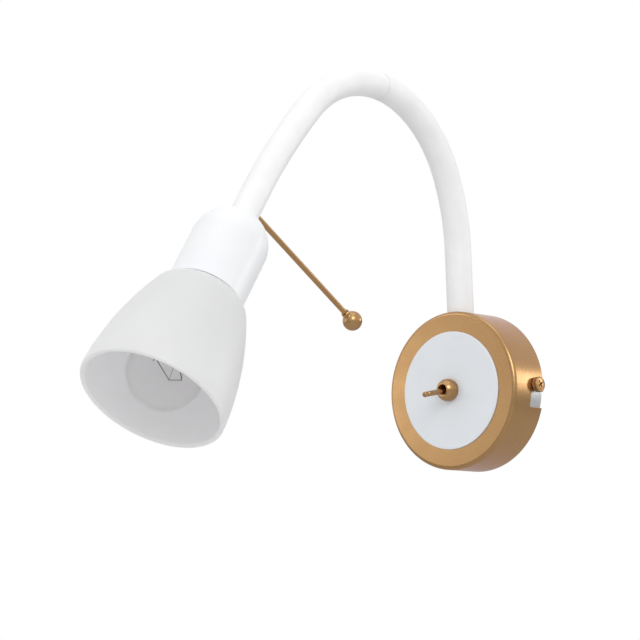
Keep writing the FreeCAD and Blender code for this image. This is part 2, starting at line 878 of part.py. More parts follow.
SPANS = [
    Span(run=s.riserLink),
    Span(radius=s.bendRadiusA, turn=s.bendTurnA),
    Span(radius=s.bendRadiusB, turn=s.bendTurnB),
    Span(radius=s.bendRadiusB, turn=s.bendTurnB),
    Span(radius=s.bendRadiusC, turn=s.bendTurnC),
    Span(radius=s.bendRadiusC, turn=s.bendTurnC),
    Span(radius=s.bendRadiusD, turn=s.bendTurnD),
]
base_span = Span(run=s.riserRun)
head_span = Span(radius=s.bendRadiusE, turn=s.bendTurnE, run=s.headRun)

rim_station = Station("neckRoot", -s.neckSetback, s.canopyRadius, as_dim(0.0))
hinges = [rim_station.beyond("hingeOne", base_span)]
for number, span in zip(("Two", "Three", "Four", "Five", "Six", "Seven", "Eight"), SPANS):
    hinges.append(hinges[-1].beyond(f"hinge{number}", span))
apex = hinges[-1].beyond("headApex", head_span)


def neck_base():
    """Fixed foot of the neck: the sleeve is cut to the rim's curve, the core stands on the ferrule."""
    sleeve = neck_tube("neck_sleeve_base", rim_station, base_span, s.neckRadius, sleeve_bore, knuckle=False)
    skirt = new_sketch(sleeve, "SkirtSection", "XY_Plane")
    circle(skirt, 0, 0, s.neckRadius)
    circle(skirt, 0, 0, sleeve_bore)
    pad(sleeve, "Skirt", skirt, s.canopyWall, down=True)
    rim = new_sketch(sleeve, "RimOutline", "XZ_Plane")
    circle(rim, 0, -s.canopyRadius, s.canopyRadius + s.runningFit)
    pocket(sleeve, "RimSeat", rim, s.canopyRadius, both=True)

    foot = s.ferruleLong + s.pressFit
    core_station = Station("coreFoot", rim_station.y, rim_station.z + foot, rim_station.tilt)
    neck_tube("neck_core_base", core_station, Span(run=s.riserRun - foot), core_radius, s.coreBore,
              knuckle=False)


def neck_links():
    for number, (hinge, span) in enumerate(zip(hinges, SPANS), start=1):
        neck_tube(f"neck_sleeve_{number}", hinge, span, s.neckRadius, sleeve_bore)
        neck_tube(f"neck_core_{number}", hinge, span, core_radius, s.coreBore)


def neck_head():
    """Last piece: the sleeve ends on the cup's dome, the core on the head ferrule inside it."""
    sleeve = neck_tube("neck_sleeve_head", hinges[-1], head_span, s.neckRadius, sleeve_bore, socket=False)
    across, along = head_span.end()
    y = across - s.cupRadius * sine(head_span.turn)
    z = along + s.cupRadius * cosine(head_span.turn)
    ball_cut(sleeve, "DomeSeat", s.cupRadius + s.runningFit, y, z)
    hole_y = across + s.rodAt * sine(head_span.turn)
    hole_z = along - s.rodAt * cosine(head_span.turn)
    entry = new_sketch(sleeve, "RodHoleOutline", "XY_Plane", y=hole_y, z=hole_z,
                       tilt=head_span.turn + 90 + s.rodLean)
    circle(entry, 0, 0, s.rodRadius + s.pressFit)
    pocket(sleeve, "RodHole", entry, s.neckRadius * 2, ahead=True)
    short = Span(radius=s.bendRadiusE, turn=s.bendTurnE, run=s.headRun - s.headFerruleLong - s.pressFit)
    neck_tube("neck_core_head", hinges[-1], short, core_radius, s.coreBore, socket=False)


def neck_fixings():
    """Ferrule, saddle washer and nut that hold the neck to the canopy's rim."""
    low = -s.nippleLong
    turned("base_ferrule", [
        (s.nippleBore, low),
        (s.nippleRadius, low),
        (s.nippleRadius, s.runningFit),
        (core_radius, s.runningFit),
        (core_radius, s.ferruleLong),
        (s.nippleBore, s.ferruleLong),
    ], y=-s.neckSetback, z=s.canopyRadius)

    blank = cylinder("SaddleBlank", s.saddleRadius, s.canopyRadius, y=-s.neckSetback)
    shell_out = cylinder("SaddleOutside", rim_bore - s.runningFit, s.canopyDepth, tilt=90)
    saddle_in = derive("saddleInside", rim_bore - s.runningFit - s.saddleThick)
    shell_in = cylinder("SaddleInside", saddle_in, s.canopyDepth, tilt=90)
    hole = cylinder("SaddleHole", s.nippleRadius + s.nippleClearance, s.canopyRadius, y=-s.neckSetback)
    curved = doc.addObject("Part::MultiCommon", "SaddleDisc")
    curved.Shapes = [blank, shell_out]
    washer = cut("SaddleWasher", curved, joined("SaddleCore", [shell_in, hole]))
    node(washer, "base_washer")

    corner = hex_corner(s.nutFlats)
    nut_top = root(saddle_in * saddle_in - corner * corner) - s.runningFit
    hex_nut("base_nut", s.nutFlats, s.nutThick, s.nippleRadius + s.runningFit,
            y=-s.neckSetback, z=nut_top - s.nutThick)


# ---------------------------------------------------------------------------------------------
# Head. Its parts start at the dome's apex with Z towards the shade's mouth.
# ---------------------------------------------------------------------------------------------
ON_HEAD = {"y": apex.y, "z": apex.z, "tilt": apex.tilt}
cup_bore = derive("cupBore", s.cupRadius - s.cupWall)
shoulder_drop = s.shadeTop + s.shadeShoulderRound - s.shadeShoulderAt
crown = derive(
    "shadeCrown",
    s.shadeShoulderRadius - root(s.shadeShoulderRound * s.shadeShoulderRound - shoulder_drop * shoulder_drop),
)


def head_place(along):
    """Placement values for a part that starts some way from the dome's apex."""
    y, z = apex.offset(as_dim(0.0), along)
    return {"y": y, "z": z, "tilt": apex.tilt}


def head_ferrule():
    """Ferrule in the end of the sleeve, threaded through the dome and tapped across for the rod."""
    dome_hole = s.nippleRadius + s.nippleClearance
    shoulder = s.cupRadius - root(s.cupRadius * s.cupRadius - dome_hole * dome_hole) - s.runningFit
    body = new_body("HeadFerrule")
    revolve(body, "Turning", [
        (s.nippleBore, -s.headFerruleLong),
        (core_radius, -s.headFerruleLong),
        (core_radius, shoulder),
        (s.nippleRadius, shoulder),
        (s.nippleRadius, s.headNippleLong),
        (s.nippleBore, s.headNippleLong),
    ])
    sketch = new_sketch(body, "RodTapOutline", "XY_Plane", z=-s.rodAt, tilt=90 + s.rodLean)
    circle(sketch, 0, 0, s.rodRadius + s.runningFit)
    pocket(body, "RodTap", sketch, s.neckRadius * 2, ahead=True)
    place(body, **ON_HEAD)
    return node(body, "head_ferrule")


def holder_cup():
    """Domed cup that hides the lampholder; its open rim comes down over the shade's shoulder."""
    hole = s.nippleRadius + s.nippleClearance
    outer_at = s.cupRadius - root(s.cupRadius * s.cupRadius - hole * hole)
    inner_at = s.cupRadius - root(cup_bore * cup_bore - hole * hole)
    turned("holder_cup", [
        (hole, outer_at, -s.cupRadius),
        (hole, inner_at),
        (cup_bore, s.cupRadius, cup_bore),
        (cup_bore, s.cupLong),
        (s.cupRadius, s.cupLong),
        (s.cupRadius, s.cupRadius),
    ], **ON_HEAD)


def lampholder():
    corner = hex_corner(s.nutFlats)
    nut_at = s.cupRadius - root(cup_bore * cup_bore - corner * corner) + s.runningFit
    hex_nut("dome_nut", s.nutFlats, s.nutThick, s.nippleRadius + s.runningFit, **head_place(nut_at))
    thread = s.nippleRadius + s.runningFit
    wall = s.capWall
    turned("holder_cap", [
        (thread, s.capTop),
        (s.capNeckRadius, s.capTop),
        (s.capNeckRadius, s.capTop + wall),
        (s.capRadius, s.capShoulder),
        (s.capRadius, s.holderSplit),
        (s.capRadius - wall, s.holderSplit),
        (s.capRadius - wall, s.capShoulder + wall),
        (thread, s.capTop + s.capThreadLong),
    ], **ON_HEAD)
    flange_top = s.shadeTop - s.runningFit - s.holderFlangeThick
    flange_low = s.shadeTop - s.runningFit
    skirt_end = s.shadeTop + s.skirtLong
    bore = s.shellBore + s.shellWall + s.runningFit
    turned("holder_body", [
        (0, s.holderSplit + s.runningFit),
        (s.holderBodyRadius, s.holderSplit + s.runningFit),
        (s.holderBodyRadius, flange_top),
        (s.holderFlangeRadius, flange_top),
        (s.holderFlangeRadius, flange_low),
        (s.skirtRadius, flange_low),
        (s.skirtRadius, skirt_end),
        (bore, skirt_end),
        (bore, s.shadeTop),
        (0, s.shadeTop),
    ], **ON_HEAD)
    turned("holder_shell", [
        (s.shellBore, s.bulbContactAt + s.bulbInsulatorLong),
        (s.shellBore + s.shellWall, s.bulbContactAt + s.bulbInsulatorLong),
        (s.shellBore + s.shellWall, skirt_end - s.shellWall),
        (s.shellBore, skirt_end - s.shellWall),
    ], **ON_HEAD)
    turned("holder_contact", [
        (0, s.shadeTop + s.runningFit),
        (s.bulbContactRadius + s.capWall, s.shadeTop + s.runningFit),
        (s.bulbContactRadius, s.bulbContactAt - s.pressFit),
        (0, s.bulbContactAt - s.pressFit),
    ], **ON_HEAD)


def shade():
    """Bell shade of opal glass: shoulder, long bell curve and a short straight lip, even in wall."""
    wall = s.shadeWall
    top = s.shadeTop
    lip_at = s.shadeMouthAt - s.shadeMouthRun
    shoulder = (s.shadeShoulderRadius, s.shadeShoulderAt)
    lip = (s.shadeMouthRadius, lip_at)
    bell_x, bell_y = arc_centre(shoulder, lip, s.shadeBellRound)
    inner_bell = s.shadeBellRound - wall
    inner_round = s.shadeShoulderRound - wall
    round_y = top + s.shadeShoulderRound

    def inward(point, centre, radius, inner):
        share = inner / radius
        return centre[0] + (point[0] - centre[0]) * share, centre[1] + (point[1] - centre[1]) * share

    shoulder_in = inward(shoulder, (crown, round_y), s.shadeShoulderRound, inner_round)
    lip_in = inward(lip, (bell_x, bell_y), s.shadeBellRound, inner_bell)
    bead = wall / 2
    turned("shade_glass", [
        (s.shadeHole, top),
        (s.shadeHole, top + wall),
        (crown, top + wall),
        (derive("shadeShoulderInX", shoulder_in[0]), derive("shadeShoulderInY", shoulder_in[1]),
         inner_round),
        (derive("shadeLipInX", lip_in[0]), derive("shadeLipInY", lip_in[1]), inner_bell),
        (s.shadeMouthRadius - wall, s.shadeMouthAt - bead),
        (s.shadeMouthRadius - bead, s.shadeMouthAt, -bead),
        (s.shadeMouthRadius, s.shadeMouthAt - bead, -bead),
        (s.shadeMouthRadius, lip_at),
        (*shoulder, -s.shadeBellRound),
        (crown, top, -s.shadeShoulderRound),
    ], **ON_HEAD)


def shade_ring():
    """Ring nut on the holder's skirt that clamps the shade, with finger notches round its edge."""
    body = new_body("ShadeRing")
    near = s.shadeTop + s.shadeWall + s.runningFit
    revolve(body, "Turning", [
        (s.skirtRadius + s.runningFit, near),
        (crown, near),
        (s.ringRadius, near + (s.ringRadius - crown) / 2),
        (s.ringRadius, near + s.ringThick),
        (s.skirtRadius + s.runningFit, near + s.ringThick),
    ])
    sketch = new_sketch(body, "NotchOutline", "XY_Plane", z=near + s.ringNotchStart)
    circle(sketch, s.ringRadius + s.ringNotchInset, 0, s.ringNotchRadius)
    notch = pocket(body, "Notch", sketch, s.ringThick, ahead=True)
    around(body, "Notches", [notch], int(s.ringNotches.value))
    place(body, **ON_HEAD)
    return node(body, "shade_ring")


def aiming_rod():
    """Rod and ball: drawn with Z out along the rod, which leans a little back towards the neck."""
    y, z = apex.offset(as_dim(0.0), -s.rodAt)
    where = {"y": y, "z": z, "tilt": apex.tilt + 90 + s.rodLean}
    inner = s.nippleBore + s.rodInFerrule
    end = s.rodReach - s.rodShort
    collar = root(s.rodBall * s.rodBall - s.rodCollar * s.rodCollar)
    turned("handle_rod", [
        (0, inner),
        (s.rodRadius, inner),
        (s.rodRadius, end),
        (0, end),
    ], **where)
    bore = s.rodRadius + s.runningFit
    blind = end + s.runningFit
    throat = s.rodReach - collar
    turned("handle_ball", [
        (bore, throat - s.rodCollarLong),
        (s.rodCollar, throat - s.rodCollarLong),
        (s.rodCollar, throat),
        (s.rodBall, s.rodReach, s.rodBall),
        (0, s.rodReach + s.rodBall, s.rodBall),
        (0, blind),
        (bore, blind),
    ], **where)


# ---------------------------------------------------------------------------------------------
# Bulb
# ---------------------------------------------------------------------------------------------
def bulb():
    tip = s.globeTipAt
    centre = tip - s.globeRadius
    cap_top = s.bulbContactAt + s.bulbContactLong + s.bulbInsulatorLong
    cap_end = cap_top + s.bulbCapLong
    turned("bulb_contact", [
        (0, s.bulbContactAt),
        (s.bulbContactRadius, s.bulbContactAt + s.bulbContactLong),
        (0, s.bulbContactAt + s.bulbContactLong),
    ], **ON_HEAD)
    turned("bulb_insulator", [
        (0, s.bulbContactAt + s.bulbContactLong),
        (s.bulbContactRadius, s.bulbContactAt + s.bulbContactLong),
        (s.bulbCapRadius - s.bulbCapWall, cap_top),
        (0, cap_top),
    ], **ON_HEAD)
    inner_cap = s.bulbCapRadius - s.bulbCapWall
    turned("bulb_cap", [
        (inner_cap, cap_top),
        (s.bulbCapRadius, cap_top),
        (s.bulbCapRadius, cap_end),
        (inner_cap, cap_end),
    ], **ON_HEAD)
    # clear globe: neck in the cap, a flare, and the ball, even in wall
    neck = s.bulbNeckRadius
    wall = s.globeWall
    start = (neck, cap_end + s.bulbCapWall)
    ball = (s.globeRadius * sine(s.bulbFlareAngle), centre - s.globeRadius * cosine(s.bulbFlareAngle))
    inner_r = s.globeRadius - wall
    ball_in = (inner_r * sine(s.bulbFlareAngle), centre - inner_r * cosine(s.bulbFlareAngle))
    turned("bulb_glass", [
        (neck - wall, cap_top + wall),
        (neck - wall, start[1]),
        (*ball_in, -s.bulbFlareRound - wall),
        (inner_r, centre, inner_r),
        (0, centre + inner_r, inner_r),
        (0, tip),
        (s.globeRadius, centre, -s.globeRadius),
        (*ball, -s.globeRadius),
        (*start, s.bulbFlareRound),
        (neck, cap_top + wall),
    ], **ON_HEAD)
    stem_top = cap_top + wall + s.stemLong
    turned("bulb_stem", [
        (0, cap_top + wall),
        (s.stemFoot, cap_top + wall),
        (s.stemRadius, cap_top + wall + s.stemFootLong),
        (s.stemRadius, stem_top),
        (0, stem_top),
    ], **ON_HEAD)
    filament(stem_top)


def filament(stem_top):
    """Lead wires that spread from the stem's top, and the filament's open ring over their ends."""
    spread = s.filamentRadius - s.stemRadius / 2
    slant = root(spread * spread + s.supportRise * s.supportRise)
    foot = head_place(stem_top + s.supportWire)
    leads = [
        cylinder(f"{name}Lead", s.supportWire, slant, x=s.stemRadius / 2 * side,
                 swing=arctangent(spread / s.supportRise) * side, **foot)
        for name, side in (("Right", 1), ("Left", -1))
    ]
    node(grouped("LeadWires", leads), "bulb_supports")
    coil = doc.addObject("Part::Torus", "FilamentRing")
    coil.setExpression("Radius1", s.filamentRadius.text)
    coil.setExpression("Radius2", s.filamentWire.text)
    coil.setExpression("Angle3", s.filamentTurn.text)
    place(coil, **head_place(stem_top + s.supportRise + s.filamentGap))
    node(coil, "bulb_filament")


# ---------------------------------------------------------------------------------------------
# Build, check and write
# ---------------------------------------------------------------------------------------------
canopy_cup()
front_disc()
wall_bracket()
side_screws()
toggle_collar()
switch_parts()
toggle_lever()
wiring_parts()
neck_fixings()
neck_base()
neck_links()
neck_head()
head_ferrule()
holder_cup()
lampholder()
shade()
shade_ring()
aiming_rod()
bulb()
doc.recompute()

for item in doc.Objects:
    if "Invalid" in item.State or "Error" in item.State:
        raise RuntimeError(f"{item.Label} failed: {item.State}")
for item in nodes:
    if item.Shape.isNull() or not item.Shape.isValid() or not item.Shape.Solids:
        raise RuntimeError(f"{item.Label} has no sound shape")

os.makedirs("parts", exist_ok=True)
for item in nodes:
    item.Shape.exportStep(os.path.join("parts", item.Label + ".step"))
    print(f"{item.Label}: {len(item.Shape.Solids)} solid, {item.Shape.Volume:.1f} mm3")
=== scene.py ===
"""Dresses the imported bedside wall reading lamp: materials, the smooth gooseneck sleeve, the bulb's cap
and filament, the thumb screws and the aiming ball, with a studio and the photograph's camera. Metres,
+Z up, wall at Y = 0. Sizes named in capitals are millimetres."""
import json
import math
import bmesh
import bpy
from mathutils import Matrix, Vector


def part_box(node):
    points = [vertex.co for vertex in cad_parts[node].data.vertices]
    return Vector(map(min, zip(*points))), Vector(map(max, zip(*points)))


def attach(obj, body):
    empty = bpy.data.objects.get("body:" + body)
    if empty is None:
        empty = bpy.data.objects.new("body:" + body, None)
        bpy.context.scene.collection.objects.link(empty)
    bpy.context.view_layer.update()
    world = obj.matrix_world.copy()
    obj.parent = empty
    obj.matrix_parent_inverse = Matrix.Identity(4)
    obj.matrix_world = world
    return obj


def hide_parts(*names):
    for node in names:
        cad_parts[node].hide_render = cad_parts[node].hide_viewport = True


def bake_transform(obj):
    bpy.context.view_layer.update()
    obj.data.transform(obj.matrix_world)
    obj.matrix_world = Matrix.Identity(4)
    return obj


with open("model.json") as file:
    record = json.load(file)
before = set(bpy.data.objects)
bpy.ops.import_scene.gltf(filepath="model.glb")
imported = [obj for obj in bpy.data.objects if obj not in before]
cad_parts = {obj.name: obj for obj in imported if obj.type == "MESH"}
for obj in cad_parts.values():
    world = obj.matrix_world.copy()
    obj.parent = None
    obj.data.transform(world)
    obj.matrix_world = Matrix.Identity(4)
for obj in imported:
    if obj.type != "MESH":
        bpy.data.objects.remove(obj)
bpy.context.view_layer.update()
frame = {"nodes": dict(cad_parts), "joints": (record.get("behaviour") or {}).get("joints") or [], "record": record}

MM = 0.001
scene = bpy.context.scene

# ---------------------------------------------------------------------------------------------
# Places read from the frame: hinge points of the neck, and the head's own axes
# ---------------------------------------------------------------------------------------------
JOINTS = {joint["name"]: joint for joint in frame["joints"]}
NECK_JOINTS = sorted((name for name in JOINTS if name.startswith("neck_")), key=lambda name: name[-1])
HINGES = [Vector(JOINTS[name]["pos_m"]) for name in NECK_JOINTS]
NECK_BODIES = ["canopy"] + [f"link_{number}" for number in range(1, len(HINGES))] + ["head"]
HEAD_DOWN = Vector(JOINTS["bulb_turn"]["axis"]).normalized()
APEX = Vector(JOINTS["bulb_turn"]["pos_m"])
SIDEWAYS = Vector((1, 0, 0))

# the sizes that the dressed pieces share with the solids
NECK_RADIUS = 8.5
SLEEVE_WALL = 1.5
CANOPY_RADIUS = 50.0
CUP_RADIUS = 23.0
ROD_RADIUS = 1.65
BALL_RADIUS = 6.0
ROD_AT = 7.5             # from the dome's apex up the head's axis to the rod
ROD_LEAN = 2.3           # degrees off square to that axis
ROD_REACH = 108.4        # from that axis to the ball's middle
# from the dome's apex down the head's axis
CAP_TOP = 67.1
CAP_LONG = 20.0
STEM_TOP = 91.9
FILAMENT_AT = 116.0

# the sleeve over its hinges
RIM_CLEAR = 0.05         # between the sleeve's foot and the canopy's rim
FOLD_AT = 4              # the hinge, counted from 0, that is folded and not blended
FOLD_GAP = 1.56          # from that hinge to each stiff length
FOLD_SPACING = 2.028     # from that hinge to the next ring of points, at the least
FOLD_WALL = 0.05         # wall of the stiff lengths at their ends
KNUCKLE_SOCKET = 9.5     # radius of the hollow that the core's knuckle turns in
BAND_SOCKET = 8.7        # radius of the hollow that the near band turns in
NEAR_BAND_WALL = 0.06
FAR_BAND_WALL = 0.6
BAND_CLEAR = 0.01
BAND_INSIDE = 13.0       # degrees from a band's middle to its end inside its own length
BAND_PAST = 12.0         # degrees from its middle to its other end


def head_matrix():
    """Head frame: origin on the dome's apex, Z towards the shade's mouth, X as the lamp's."""
    turn = Matrix((SIDEWAYS, HEAD_DOWN.cross(SIDEWAYS), HEAD_DOWN)).transposed().to_4x4()
    return Matrix.Translation(APEX) @ turn


# ---------------------------------------------------------------------------------------------
# Materials
# ---------------------------------------------------------------------------------------------
# where the nodes lie in the material's editor
TONE_PLACE = (-500, 300)
GLOSS_PLACE = (-250, 0)
RELIEF_PLACE = (-500, -250)
SHADER_SIDE = -250


def srgb(code):
    """Scene-linear colour of an sRGB hex code."""
    channels = [int(code[index:index + 2], 16) / 255 for index in (1, 3, 5)]
    linear = [c / 12.92 if c <= 0.04045 else ((c + 0.055) / 1.055) ** 2.4 for c in channels]
    return (*linear, 1.0)


def add(tree, kind, place, inputs=None, **settings):
    """Adds a node: settings are its own properties, inputs its sockets' values or links."""
    item = tree.nodes.new(kind)
    item.location = place
    for key, value in settings.items():
        setattr(item, key, value)
    for key, value in (inputs or {}).items():
        if isinstance(value, bpy.types.NodeSocket):
            tree.links.new(value, item.inputs[key])
        else:
            item.inputs[key].default_value = value
    return item


def shader(name, **inputs):
    """A new material with its Principled shader set up; returns the material, its tree and shader."""
    material = bpy.data.materials.new(name)
    material.use_nodes = True
    tree = material.node_tree
    bsdf = tree.nodes["Principled BSDF"]
    for key, value in inputs.items():
        bsdf.inputs[key.replace("_", " ")].default_value = value
    return material, tree, bsdf


def mottle(tree, place, size, low=0.0, high=1.0, detail=3.0):
    """Noise with features of about size millimetres, mapped to the range low..high."""
    where = add(tree, "ShaderNodeTexCoord", (place[0] - 600, place[1]))
    noise = add(tree, "ShaderNodeTexNoise", (place[0] - 400, place[1]),
                {"Vector": where.outputs["Object"], "Scale": 1 / (size * MM), "Detail": detail})
    spread = add(tree, "ShaderNodeMapRange", place,
                 {"Value": noise.outputs["Fac"], "From Min": 0.3, "From Max": 0.7,
                  "To Min": low, "To Max": high})
    return spread.outputs["Result"]


def lathe_lines(tree, place, size):
    """Noise that runs in rings round the canopy's axis, as a lathe's abrasive leaves it: lines size
    millimetres apart, coarser than the real 0.1 mm so that they show."""
    where = add(tree, "ShaderNodeTexCoord", (place[0] - 1000, place[1]))
    split = add(tree, "ShaderNodeSeparateXYZ", (place[0] - 850, place[1]),
                {"Vector": where.outputs["Object"]})
    flat = add(tree, "ShaderNodeCombineXYZ", (place[0] - 700, place[1]),
               {"X": split.outputs["X"], "Z": split.outputs["Z"]})
    out = add(tree, "ShaderNodeVectorMath", (place[0] - 550, place[1]),
              {"Vector": flat.outputs["Vector"]}, operation="LENGTH")
    ring = add(tree, "ShaderNodeCombineXYZ", (place[0] - 400, place[1]),
               {"X": out.outputs["Value"], "Y": split.outputs["Y"]})
    noise = add(tree, "ShaderNodeTexNoise", (place[0] - 200, place[1]),
                {"Vector": ring.outputs["Vector"], "Scale": 1 / (size * MM), "Detail": 3.0})
    return noise.outputs["Fac"]


def two_tones(tree, bsdf, size, code, code_two, detail=3.0):
    """Base colour that drifts between two near tones over about size millimetres."""
    tone = mottle(tree, TONE_PLACE, size, detail=detail)
    blend = add(tree, "ShaderNodeMix", (SHADER_SIDE, TONE_PLACE[1]),
                {"Factor": tone, "A": srgb(code), "B": srgb(code_two)}, data_type="RGBA")
    tree.links.new(blend.outputs["Result"], bsdf.inputs["Base Color"])


def patchy_gloss(tree, bsdf, size, low, high):
    """Roughness that drifts between low and high over about size millimetres."""
    tree.links.new(mottle(tree, GLOSS_PLACE, size, low, high), bsdf.inputs["Roughness"])


def skin_relief(tree, bsdf, height, depth, strength):
    """Gives the skin a relief that is depth millimetres deep."""
    relief = add(tree, "ShaderNodeBump", (SHADER_SIDE, RELIEF_PLACE[1]),
                 {"Height": height, "Distance": depth * MM, "Strength": strength})
    tree.links.new(relief.outputs["Normal"], bsdf.inputs["Normal"])


def grain(tree, bsdf, size, depth, strength, detail=2.0):
    """Uneven skin with features of about size millimetres."""
    skin_relief(tree, bsdf, mottle(tree, RELIEF_PLACE, size, detail=detail), depth, strength)


def satin_brass(name="satin_brass", spun=False):
    """Lacquered brass plate with a satin brush: brown gold face on, pinker at a slant. Spun pieces show
    the brush as fine rings round their axis."""
    material, tree, bsdf = shader(name, Metallic=1.0, Specular_Tint=srgb("#fff4fa"))
    two_tones(tree, bsdf, 30.0, "#ae8a5f", "#aa855b")
    patchy_gloss(tree, bsdf, 14.0, 0.25, 0.29)
    if spun:
        skin_relief(tree, bsdf, lathe_lines(tree, RELIEF_PLACE, size=0.5), depth=0.005, strength=0.22)
    else:
        grain(tree, bsdf, size=0.3, depth=0.003, strength=0.25)
    return material


def white_paint(name, code, code_two):
    """Stoved white paint: nearly smooth, with the faint orange peel of a sprayed coat."""
    material, tree, bsdf = shader(name, Roughness=0.36, Coat_Weight=0.12, Coat_Roughness=0.22)
    two_tones(tree, bsdf, 30.0, code, code_two)
    grain(tree, bsdf, size=1.4, depth=0.012, strength=0.35, detail=1.0)
    return material


def white_silicone():
    """Extruded silicone sleeve: soft white, matt, with a very fine grain."""
    material, tree, bsdf = shader("white_silicone", Roughness=0.48)
    two_tones(tree, bsdf, 14.0, "#f4f4f4", "#efeff0")
    grain(tree, bsdf, size=0.5, depth=0.01, strength=0.3)
    return material


def opal_glass():
    """Frosted opal glass: satin skin over a milky body that lets light wander through its 3 mm wall."""
    material, tree, bsdf = shader(
        "opal_glass", Roughness=0.42, Subsurface_Weight=1.0, Subsurface_Scale=0.02,
        Subsurface_Radius=(1.0, 0.96, 1.0), IOR=1.5)
    two_tones(tree, bsdf, 45.0, "#edecef", "#e9e8eb", detail=1.0)
    grain(tree, bsdf, size=0.35, depth=0.006, strength=0.3)
    return material


def clear_glass():
    """Thin blown glass of the bulb: light goes straight through its thin wall, which shows only as a
    faint grey film that thickens towards its edge, where one looks along it."""
    material, tree, bsdf = shader("clear_glass", Roughness=0.06, Base_Color=srgb("#d9d7d6"))
    slant = add(tree, "ShaderNodeLayerWeight", (-600, 200), {"Blend": 0.5})
    steep = add(tree, "ShaderNodeMath", (-420, 200), {0: slant.outputs["Facing"], 1: 4.0}, operation="POWER")
    film = add(tree, "ShaderNodeMapRange", (SHADER_SIDE, 200),
               {"Value": steep.outputs["Value"], "To Min": 0.03, "To Max": 0.24})
    tree.links.new(film.outputs["Result"], bsdf.inputs["Alpha"])
    grain(tree, bsdf, size=18.0, depth=0.02, strength=0.15, detail=0.0)
    return material


def plain_metal(name, code, low, high, size=4.0):
    """Plated or drawn metal: its gloss is patchy over size millimetres, so that it doesn't look chromed."""
    material, tree, bsdf = shader(name, Metallic=1.0, Base_Color=srgb(code))
    patchy_gloss(tree, bsdf, size, low, high)
    grain(tree, bsdf, size=0.4, depth=0.006, strength=0.4)
    return material


def moulded(name, code, code_two, gloss):
    """Moulded plastic with a fine spark-eroded skin."""
    material, tree, bsdf = shader(name, Roughness=gloss)
    two_tones(tree, bsdf, 9.0, code, code_two)
    grain(tree, bsdf, size=0.3, depth=0.01, strength=0.4)
    return material


MATERIALS = {
    "satin_brass": satin_brass(),
    "white_paint": white_paint("white_paint", "#eff1f3", "#ecedf0"),
    "white_silicone": white_silicone(),
    "opal_glass": opal_glass(),
    "clear_glass": clear_glass(),
    # pressed steel, zinc plated: cool pale grey, clouded
    "zinc_steel": plain_metal("zinc_steel", "#c3c5c6", 0.28, 0.42),
    # the neck's core, wound of steel wire: darker, with an oiled gleam
    "wound_steel": plain_metal("wound_steel", "#8d8d90", 0.3, 0.45),
    # a set drop of solder: dull, and patchy over little more than a millimetre
    "tin_solder": plain_metal("tin_solder", "#a9abae", 0.35, 0.5, 1.5),
    # thin brass sheet, nickel plated and rolled: bright, with a warm cast
    "nickel_cap": plain_metal("nickel_cap", "#c9c3b4", 0.2, 0.32),
    # drawn nickel: mid grey with a soft gleam
    "nickel_wire": plain_metal("nickel_wire", "#6e6a66", 0.3, 0.4),
    # drawn tungsten, fired when it was coiled: mid grey and nearly dull
    "tungsten_wire": plain_metal("tungsten_wire", "#75726f", 0.4, 0.5),
    # the switch's body, moulded black: a soft sheen with no sharp highlight
    "black_plastic": moulded("black_plastic", "#1b1b1d", "#161618", 0.45),
    # lampholder and terminal block, moulded: a warmer white than the paint beside them
    "white_plastic": moulded("white_plastic", "#e9e7e1", "#e3e1da", 0.42),
    # the black glass at a bulb cap's end, pressed in hot: smooth, with a sharp shine
    "black_vitrite": moulded("black_vitrite", "#101013", "#0c0c0f", 0.15),
}

# pieces whose material differs a little from their slot's usual one: spun brass, and on the front disc a darker
# copy of the white paint that is painted shade
SPUN_BRASS = satin_brass("spun_brass", spun=True)
SPECIAL = {
    "canopy_cup": SPUN_BRASS,
    "toggle_collar": SPUN_BRASS,
    # painted shade: the front disc's white is darker than the cup's, standing in for the lesser light on its face
    "front_disc": white_paint("shaded_panel_paint", "#e6eaee", "#e2e6ea"),
}

for part in frame["record"]["subparts"]:
    skin = frame["nodes"][part["node"]].data.materials
    skin.clear()
    skin.append(SPECIAL.get(part["node"]) or MATERIALS[part["material_slot"]])


# ---------------------------------------------------------------------------------------------
# Pieces in mesh code
# ---------------------------------------------------------------------------------------------
def piece(name, mesh, material, nodes=(), body=None):
    """A finished mesh as a piece: its material and slot, its body, and the solids it stands for."""
    item = bpy.data.objects.new(name, mesh)
    scene.collection.objects.link(item)
    mesh.materials.append(MATERIALS[material])
    for face in mesh.polygons:
        face.use_smooth = True
    if nodes:
        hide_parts(*nodes)
    if body:
        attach(item, body)
    return item


def lathe(outline, segments=96, relief=None):
    """Turns (radius, height) points in millimetres about Z into a bmesh. A third value on a point
    makes its ring a sharp edge; relief changes a radius and height by the angle."""
    bm = bmesh.new()
    rings = []
    for radius, height, *sharp in outline:
        if radius <= 1e-6:
            rings.append([bm.verts.new((0, 0, (relief(0.0, height, 0.0)[1] if relief else height) * MM))])
            continue
        ring = []
        for step in range(segments):
            angle = 2 * math.pi * step / segments
            r, z = relief(radius, height, angle) if relief else (radius, height)
            ring.append(bm.verts.new((r * MM * math.cos(angle), r * MM * math.sin(angle), z * MM)))
        rings.append(ring)
        if sharp:
            crease(bm, ring)
    for low, high in zip(rings, rings[1:]):
        join_rings(bm, low, high)
    return bm


def closed_lathe(outline, segments=96, relief=None):
    """Turns an outline that comes back to its start, so that the skin has no seam."""
    bm = lathe(outline + outline[:1], segments, relief)
    bmesh.ops.remove_doubles(bm, verts=bm.verts, dist=1e-8)
    return bm


def crease(bm, ring):
    """Makes a ring of points a sharp edge, so that the shading breaks there."""
    for step, vert in enumerate(ring):
        edge = bm.edges.get((vert, ring[step - 1])) or bm.edges.new((vert, ring[step - 1]))
        edge.smooth = False


def join_rings(bm, low, high):
    """Faces between two rings of points, either of which may be a single point."""
    count = max(len(low), len(high))
    for step in range(count):
        after = (step + 1) % count
        corners = [low[step % len(low)], low[after % len(low)],
                   high[after % len(high)], high[step % len(high)]]
        unique = list(dict.fromkeys(corners))
        if len(unique) > 2:
            bm.faces.new(unique)


